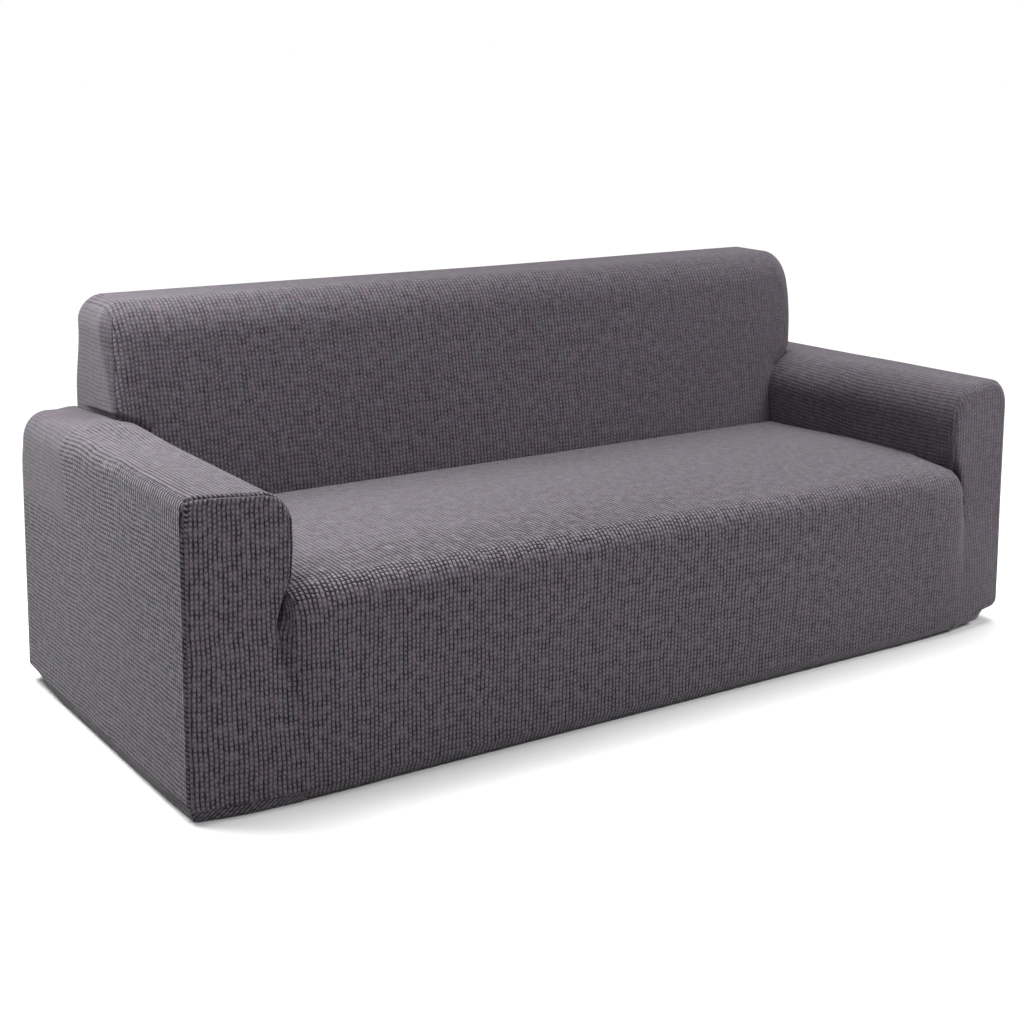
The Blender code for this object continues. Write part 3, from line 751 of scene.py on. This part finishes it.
def sew(work, points, flat):
    """Sinks the seams and raises the turned allowance beside them."""
    shaped = work.copy()
    for vert, place in zip(shaped.verts, points):
        vert.co = place
    shaped.normal_update()
    normals = np.array([vert.normal for vert in shaped.verts])
    shaped.free()
    wrap, other = seam_distance(flat)
    sunk = SEAM_DEPTH * hump(0.0, SEAM_HALF, np.minimum(wrap, other))
    raised = hump(ALLOWANCE_PLACE, ALLOWANCE_HALF, wrap) + 0.5 * hump(ALLOWANCE_PLACE, ALLOWANCE_HALF, other)
    plain = np.where(flat[:, 0] > 0, 0.35, 1.0)  # the right end's seams hardly show
    return points + normals * (plain * (ALLOWANCE_RISE * raised - sunk))[:, None]


# ---------------------------------------------------------------- panels

def panel_edges(work, name):
    """The edges of one panel's faces, and 1 at the points that no other panel shares."""
    layer = work.faces.layers.int["panel"]
    number = PANELS.index(name)
    edges = [[v.index for v in e.verts] for e in work.edges if any(f[layer] == number for f in e.link_faces)]
    inside = np.array([float(all(f[layer] == number for f in v.link_faces)) for v in work.verts])
    return np.array(edges), inside


def shape_skin(work):
    """The taut skin's points, in the frame's axes, and each point's place on the plain blocks."""
    work.verts.ensure_lookup_table()
    flat = np.array([v.co for v in work.verts])
    edges = np.array([[v.index for v in e.verts] for e in work.edges])
    form_layer = work.faces.layers.int["form"]
    member = {name: np.zeros(len(flat), bool) for name in FORM_NAMES}
    on_upright = np.zeros(len(flat), bool)
    for face in work.faces:
        numbers = [v.index for v in face.verts]
        member[FORM_NAMES[face[form_layer]]][numbers] = True
        if max(v.co.z for v in face.verts) > 0.001:
            on_upright[numbers] = True
    points = draw_onto_forms(flat, member)
    points = lean(points)
    points = sidle(points)
    points = stretch(points, flat)
    points = sag(points, flat)
    points = bridge(points, flat)
    points = join_low_front(points, edges, flat, on_upright)
    points = soften(points, flat, {name: panel_edges(work, name) for name in ("seat_panel", "back_panel")})
    points = pinch(points, flat)
    points = crease(points, flat)
    return sew(work, points, flat) - np.array(ORIGIN), flat


def weave_place(place, panel):
    """(across the wales, along them) on the plain blocks, from the panel's starting lines."""
    x, y, z = place
    side = abs(x)
    if panel.startswith("arm_wrap"):
        if side > HALF - TINY:
            return z - ARM_HEIGHT, y
        if z < TINY:
            return side - HALF - ARM_HEIGHT, y
        if side > INNER + TINY:
            return HALF - side, y
        return ARM_WIDTH + ARM_HEIGHT - z, y
    if panel.startswith("arm_front"):
        return x, (z if z > TINY else -y) - SEAT_HEIGHT
    if panel.startswith("back_end"):
        return z - ARM_HEIGHT, y - BACK_FRONT
    if panel == "back_panel":
        return x, (y - BACK_FRONT if z > BACK_HEIGHT - TINY else z - BACK_HEIGHT)
    if panel == "rear_panel":
        return x, (z if z > TINY else y - REAR)
    ahead = y + SEAT_REACH
    if z < TINY:
        return x, -SEAT_HEIGHT - ahead
    if side > INNER - TINY and z < SEAT_HEIGHT - TINY:
        return math.copysign(INNER + ahead, x), z - SEAT_HEIGHT
    return x, (z - SEAT_HEIGHT if ahead < TINY else ahead)


def laid_out(points, along, row_of, start):
    """Length of cloth to each point along its own row, from the row's point at start."""
    lengths = np.zeros(len(points))
    order = np.argsort(row_of)
    ends = np.flatnonzero(np.diff(row_of[order]) > 10 * TINY) + 1
    for row in np.split(order, ends):
        row = row[np.argsort(along[row])]
        steps = np.linalg.norm(np.diff(points[row], axis=0), axis=1)
        run = np.concatenate([[0.0], np.cumsum(steps)])
        first = np.clip(start, along[row[0]], along[row[-1]])
        lengths[row] = run - np.interp(first, along[row], run) + first
    return lengths


def weave_on(points, flat, numbers, panel):
    """The weave's place at each of a panel's points, in metres of the cloth as it lies."""
    across, along = np.array([weave_place(flat[n], panel) for n in numbers]).T
    on_front = panel.startswith("arm_front")
    side_edge = math.copysign(HALF, flat[numbers[0], 0]) if on_front else 0.0
    hem = -SEAT_HEIGHT if on_front or panel == "seat_panel" else 0.0
    lying = points[numbers]
    rows = lying[:, 0] if panel == "back_panel" else laid_out(lying, across, along, side_edge)
    return dict(zip(numbers, np.column_stack([rows, laid_out(lying, along, across, hem)])))


def carry_on(apron, front, flat):
    """Below the cushion's corner, an arm front's wales carry on from the apron's without a break."""
    shared = sorted((n for n in front if n in apron and flat[n, 1] < TINY), key=lambda n: flat[n, 2])
    heights = [flat[n, 2] for n in shared]
    gaps = [apron[n][0] - front[n][0] for n in shared]
    for n, place in front.items():
        low = 1 - smooth_step(0.27, 0.31, flat[n, 2])
        place[0] += low * np.interp(flat[n, 2], heights, gaps) * (HALF - abs(flat[n, 0])) / ARM_WIDTH


def lay_weave(work, points, flat):
    """Each panel's weave places, by the number of the point."""
    layer = work.faces.layers.int["panel"]
    numbers = {name: set() for name in PANELS}
    for face in work.faces:
        numbers[PANELS[face[layer]]].update(vert.index for vert in face.verts)
    weave = {name: weave_on(points, flat, np.array(sorted(numbers[name])), name) for name in PANELS}
    for hand in ("left", "right"):
        carry_on(weave["seat_panel"], weave[f"arm_front_{hand}"], flat)
    return weave


def pulled(flat):
    """Where the rows stand out more than the wales (up to 1), or less (down to -1)."""
    x, y, z = flat.T
    side = np.abs(x)
    high = smooth_step(ARM_HEIGHT - 0.09, ARM_HEIGHT - 0.01, z)
    outer = high * smooth_step(HALF - 0.02, HALF - 0.005, side)
    top = hump(HALF - 0.035, 0.045, side) * (z > ARM_HEIGHT - TINY)
    near_front = 1 - smooth_step(0.15, 0.45, y)
    return (outer * np.where(x < 0, 1.4, 1.0) - 0.8 * top) * near_front


def weave_relief_and_groove_shade(flat):
    """How strongly the weave stands out, in its bumps and in the shade painted into its grooves: less where
    the cloth is taut or light fills the grooves, more where it gathers.
    """
    x, y, z = flat.T
    side = np.abs(x)
    on_back = (y > BACK_FRONT - TINY) & (z > SEAT_HEIGHT)
    back_face = on_back & (y < BACK_FRONT + TINY) & (z > ARM_HEIGHT)
    # It is flatter towards the right, and strongest on the left arm's outer side.
    relief = 1.0 - 0.35 * smooth_step(-0.2, 1.0, x) + 0.3 * (x < TINY - HALF)
    relief = relief * (1 - 0.40 * smooth_step(INNER - 0.06, INNER + 0.02, x))
    # It is flatter on the back, on the middle of the seat, where light from above fills the grooves and less
    # shade is painted into them, and on the back's ends.
    relief = relief * np.where(on_back, 0.68, 1.0)
    relief = relief * (1 - 0.25 * hump(SEAT_HEIGHT, 0.01, z) * smooth_step(0.05, 0.25, y))
    relief = relief * (1 - 0.5 * on_back * smooth_step(BACK_HALF - 0.002, BACK_HALF, side))
    # It gathers at the back's left seam, on the seat's front edge, on the left arm's and at the feet; at the
    # back's seam and the feet the deeper grooves also paint in the shade that lies there.
    seam = 0.9 * back_face * hump(-BACK_HALF, 0.016, x)
    nose = (side < INNER) * hump(0.02, 0.16, y) * smooth_step(SEAT_HEIGHT - 0.02, SEAT_HEIGHT, z)
    nose = 2.0 * nose * (1 - smooth_step(-0.4, 0.4, x))
    arm_edge = 0.6 * (x < 0) * np.maximum(pulled(flat), 0)
    foot = hump(FOOT_PLACE[0], FOOT_SIZE[0], side) * hump(0.0, FOOT_SIZE[1], y)
    foot = 0.7 * foot * (1 - smooth_step(0.0, 0.02, z))
    return relief + seam + nose + arm_edge + foot


def make_panel(work, points, flat, places, name):
    """One sewn panel as its own object: its outer face, and its inner face one cloth inward."""
    own = work.copy()
    panel_layer = own.faces.layers.int["panel"]
    number = PANELS.index(name)
    weave = own.loops.layers.uv.new("weave")
    pull = own.verts.layers.float.new("pull")
    # How strongly the weave stands out, which also sets how much shade is painted into its grooves.
    relief = own.verts.layers.float.new("relief")
    others = [f for f in own.faces if f[panel_layer] != number]
    bmesh.ops.delete(own, geom=others, context="FACES")
    number_layer = own.verts.layers.int["number"]
    pulls, reliefs = pulled(flat), weave_relief_and_groove_shade(flat)
    for vert in own.verts:
        vert.co = points[vert[number_layer]]
        vert[pull] = pulls[vert[number_layer]]
        vert[relief] = reliefs[vert[number_layer]]
    for face in own.faces:
        for loop in face.loops:
            loop[weave].uv = places[loop.vert[number_layer]]
    own.normal_update()
    inner_faces = own.faces[:]
    inward = {vert: -CLOTH * vert.normal for vert in own.verts}
    bmesh.ops.extrude_face_region(own, geom=inner_faces, use_keep_orig=True)
    for vert, step in inward.items():
        vert.co += step
    bmesh.ops.reverse_faces(own, faces=inner_faces)
    bmesh.ops.recalc_face_normals(own, faces=own.faces[:])
    mesh = bpy.data.meshes.new(name + "_cloth")
    own.to_mesh(mesh)
    own.free()
    mesh.shade_smooth()
    mesh.set_sharp_from_angle(angle=math.radians(60))
    panel = bpy.data.objects.new(name + "_cloth", mesh)
    bpy.context.scene.collection.objects.link(panel)
    return panel


# ---------------------------------------------------------------- stretch jacquard

def shifted(tree, place, patch, far):
    """The place moved by up to about this far, differently from one patch to the next."""
    inputs = {"Vector": place, "Scale": 1 / patch, "Detail": 1.0}
    drift = node(tree, "ShaderNodeTexNoise", inputs=inputs).outputs["Color"]
    inputs = {0: drift, 1: (0.5, 0.5, 0.5)}
    centred = node(tree, "ShaderNodeVectorMath", {"operation": "SUBTRACT"}, inputs).outputs[0]
    inputs = {0: centred, 1: (2 * far, 2 * far, 0), 2: place}
    return node(tree, "ShaderNodeVectorMath", {"operation": "MULTIPLY_ADD"}, inputs).outputs[0]


def chance(tree, across, along=0.0):
    """One random value for each whole wale, or for each whole pad of it."""
    counted = node(tree, "ShaderNodeCombineXYZ", inputs={"X": across, "Y": along}).outputs[0]
    whole = node(tree, "ShaderNodeVectorMath", {"operation": "FLOOR"}, {0: counted}).outputs[0]
    settings = {"noise_dimensions": "2D"}
    return node(tree, "ShaderNodeTexWhiteNoise", settings, {"Vector": whole}).outputs["Value"]


def counted_pads(tree, place):
    """How many wales, and how many rows, each place is from the weave's start."""
    for patch, far in WANDER:
        place = shifted(tree, place, patch, far)
    parts = node(tree, "ShaderNodeSeparateXYZ", inputs={"Vector": place})
    inputs = {0: parts.outputs["X"], 1: WALE_PITCH}
    wales = node(tree, "ShaderNodeMath", {"operation": "DIVIDE"}, inputs).outputs[0]
    inputs = {0: parts.outputs["Y"], 1: ROW_PITCH}
    even = node(tree, "ShaderNodeMath", {"operation": "DIVIDE"}, inputs).outputs[0]
    inputs = {0: chance(tree, wales), 1: ROW_SHIFT, 2: even}
    rows = node(tree, "ShaderNodeMath", {"operation": "MULTIPLY_ADD"}, inputs).outputs[0]
    return wales, rows


def groove(tree, counted, depth, change, uneven):
    """0 on the pads, deepest midway between them, and shallower in places."""
    inputs = {0: counted, 1: 2 * math.pi}
    angle = node(tree, "ShaderNodeMath", {"operation": "MULTIPLY"}, inputs).outputs[0]
    turn = node(tree, "ShaderNodeMath", {"operation": "COSINE"}, {0: angle}).outputs[0]
    inputs = {0: turn, 1: 0.5, 2: 0.5}
    line = node(tree, "ShaderNodeMath", {"operation": "MULTIPLY_ADD"}, inputs).outputs[0]
    pull = node(tree, "ShaderNodeAttribute", {"attribute_name": "pull"}).outputs["Fac"]
    inputs = {0: pull, 1: change, 2: depth}
    strength = node(tree, "ShaderNodeMath", {"operation": "MULTIPLY_ADD"}, inputs).outputs[0]
    inputs = {0: strength, 1: uneven}
    deepest = node(tree, "ShaderNodeMath", {"operation": "MULTIPLY"}, inputs).outputs[0]
    return node(tree, "ShaderNodeMath", {"operation": "MULTIPLY"}, {0: line, 1: deepest}).outputs[0]


def pad_height(tree, place, wales, rows):
    """1 on top of the pads, and down to 0 in the deepest grooves, as far as the weave stands out."""
    inputs = {"Vector": place, "Scale": 1 / UNEVEN_PATCH, "Detail": 1.0}
    patches = node(tree, "ShaderNodeTexNoise", inputs=inputs).outputs["Fac"]
    inputs = {0: patches, 1: 1.2, 2: 0.4}
    uneven = node(tree, "ShaderNodeMath", {"operation": "MULTIPLY_ADD"}, inputs).outputs[0]
    grooves = {0: groove(tree, wales, *WALE_GROOVE, uneven), 1: groove(tree, rows, *ROW_GROOVE, uneven)}
    sunk = node(tree, "ShaderNodeMath", {"operation": "MAXIMUM"}, grooves).outputs[0]
    proud = node(tree, "ShaderNodeMath", {"operation": "SUBTRACT"}, {0: MEAN_SUNK, 1: sunk}).outputs[0]
    # The relief also sets how deep the painted groove shade is.
    relief = node(tree, "ShaderNodeAttribute", {"attribute_name": "relief"}).outputs["Fac"]
    inputs = {0: proud, 1: relief, 2: 1 - MEAN_SUNK}
    return node(tree, "ShaderNodeMath", {"operation": "MULTIPLY_ADD"}, inputs).outputs[0]


def yarn_colour(tree, place, pad, height):
    """Grey yarn, warmer or cooler from patch to patch, with painted shade in the grooves between the pads.
    """
    inputs = {"Vector": place, "Scale": 1 / FUZZ_SIZE, "Detail": 1.0}
    fuzz = node(tree, "ShaderNodeTexNoise", inputs=inputs).outputs["Fac"]
    inputs = {0: fuzz, 1: 0.55, 2: 0.77}
    fuzzy = node(tree, "ShaderNodeMath", {"operation": "MULTIPLY_ADD"}, inputs).outputs[0]
    inputs = {0: pad, 1: 0.30, 2: fuzzy}
    shade = node(tree, "ShaderNodeMath", {"operation": "MULTIPLY_ADD"}, inputs).outputs[0]
    # Painted shade: the lower the cloth lies between the pads, the more of the groove shade is mixed into
    # the yarn.
    raised = node(tree, "ShaderNodeMath", {"operation": "MAXIMUM"}, {0: height, 1: 0.0}).outputs[0]
    lit = node(tree, "ShaderNodeMath", {"operation": "MULTIPLY"}, {0: raised, 1: shade}).outputs[0]

    inputs = {"Vector": place, "Scale": 1 / TONE_PATCH, "Detail": 1.0}
    patches = node(tree, "ShaderNodeTexNoise", inputs=inputs).outputs["Fac"]
    inputs = {"Value": patches, "From Min": 0.38, "From Max": 0.62}
    tone = node(tree, "ShaderNodeMapRange", inputs=inputs).outputs[0]
    inputs = {"Factor": tone, MIX_A: colour(WARM_YARN), MIX_B: colour(COOL_YARN)}
    yarn = node(tree, "ShaderNodeMix", {"data_type": "RGBA"}, inputs).outputs[MIX_RESULT]
    inputs = {"Factor": lit, MIX_A: colour(GROOVE_SHADE), MIX_B: yarn}
    return node(tree, "ShaderNodeMix", {"data_type": "RGBA"}, inputs).outputs[MIX_RESULT]


def jacquard(name):
    """Stretch jacquard of matt polyester yarn: small raised pads in a check, a little fuzzy.

    Its grooves are dark with painted shade, where the pads would shade them; no two pads are quite the same.
    """
    material = bpy.data.materials.new(name)
    material.use_nodes = True
    tree = material.node_tree
    place = node(tree, "ShaderNodeUVMap", {"uv_map": "weave"}).outputs["UV"]
    wales, rows = counted_pads(tree, place)
    height = pad_height(tree, place, wales, rows)
    yarn = yarn_colour(tree, place, chance(tree, wales, rows), height)
    inputs = {"Height": height, "Strength": 0.8, "Distance": PAD_HEIGHT}
    bump = node(tree, "ShaderNodeBump", inputs=inputs)

    shader = tree.nodes["Principled BSDF"]
    tree.links.new(yarn, shader.inputs["Base Color"])
    tree.links.new(bump.outputs["Normal"], shader.inputs["Normal"])
    shader.inputs["Roughness"].default_value = 0.9
    shader.inputs["Specular IOR Level"].default_value = 0.2
    shader.inputs["Sheen Weight"].default_value = 0.25
    shader.inputs["Sheen Roughness"].default_value = 0.5
    return material


# ---------------------------------------------------------------- making it all

bpy.context.scene.view_settings.view_transform = "Standard"
add_camera()
add_world()
add_overhead("overhead", *OVERHEAD)
for softbox_name, softbox in SOFTBOXES.items():
    add_softbox(softbox_name, *softbox)
add_floor()

cloth = jacquard("stretch_jacquard")
skin = cut_blocks()
taut, block_places = shape_skin(skin)
weave = lay_weave(skin, taut, block_places)
for panel_name in PANELS:
    piece = make_panel(skin, taut, block_places, weave[panel_name], panel_name)
    piece.data.materials.append(cloth)
    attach(piece, "root")
    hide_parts(panel_name)
skin.free()
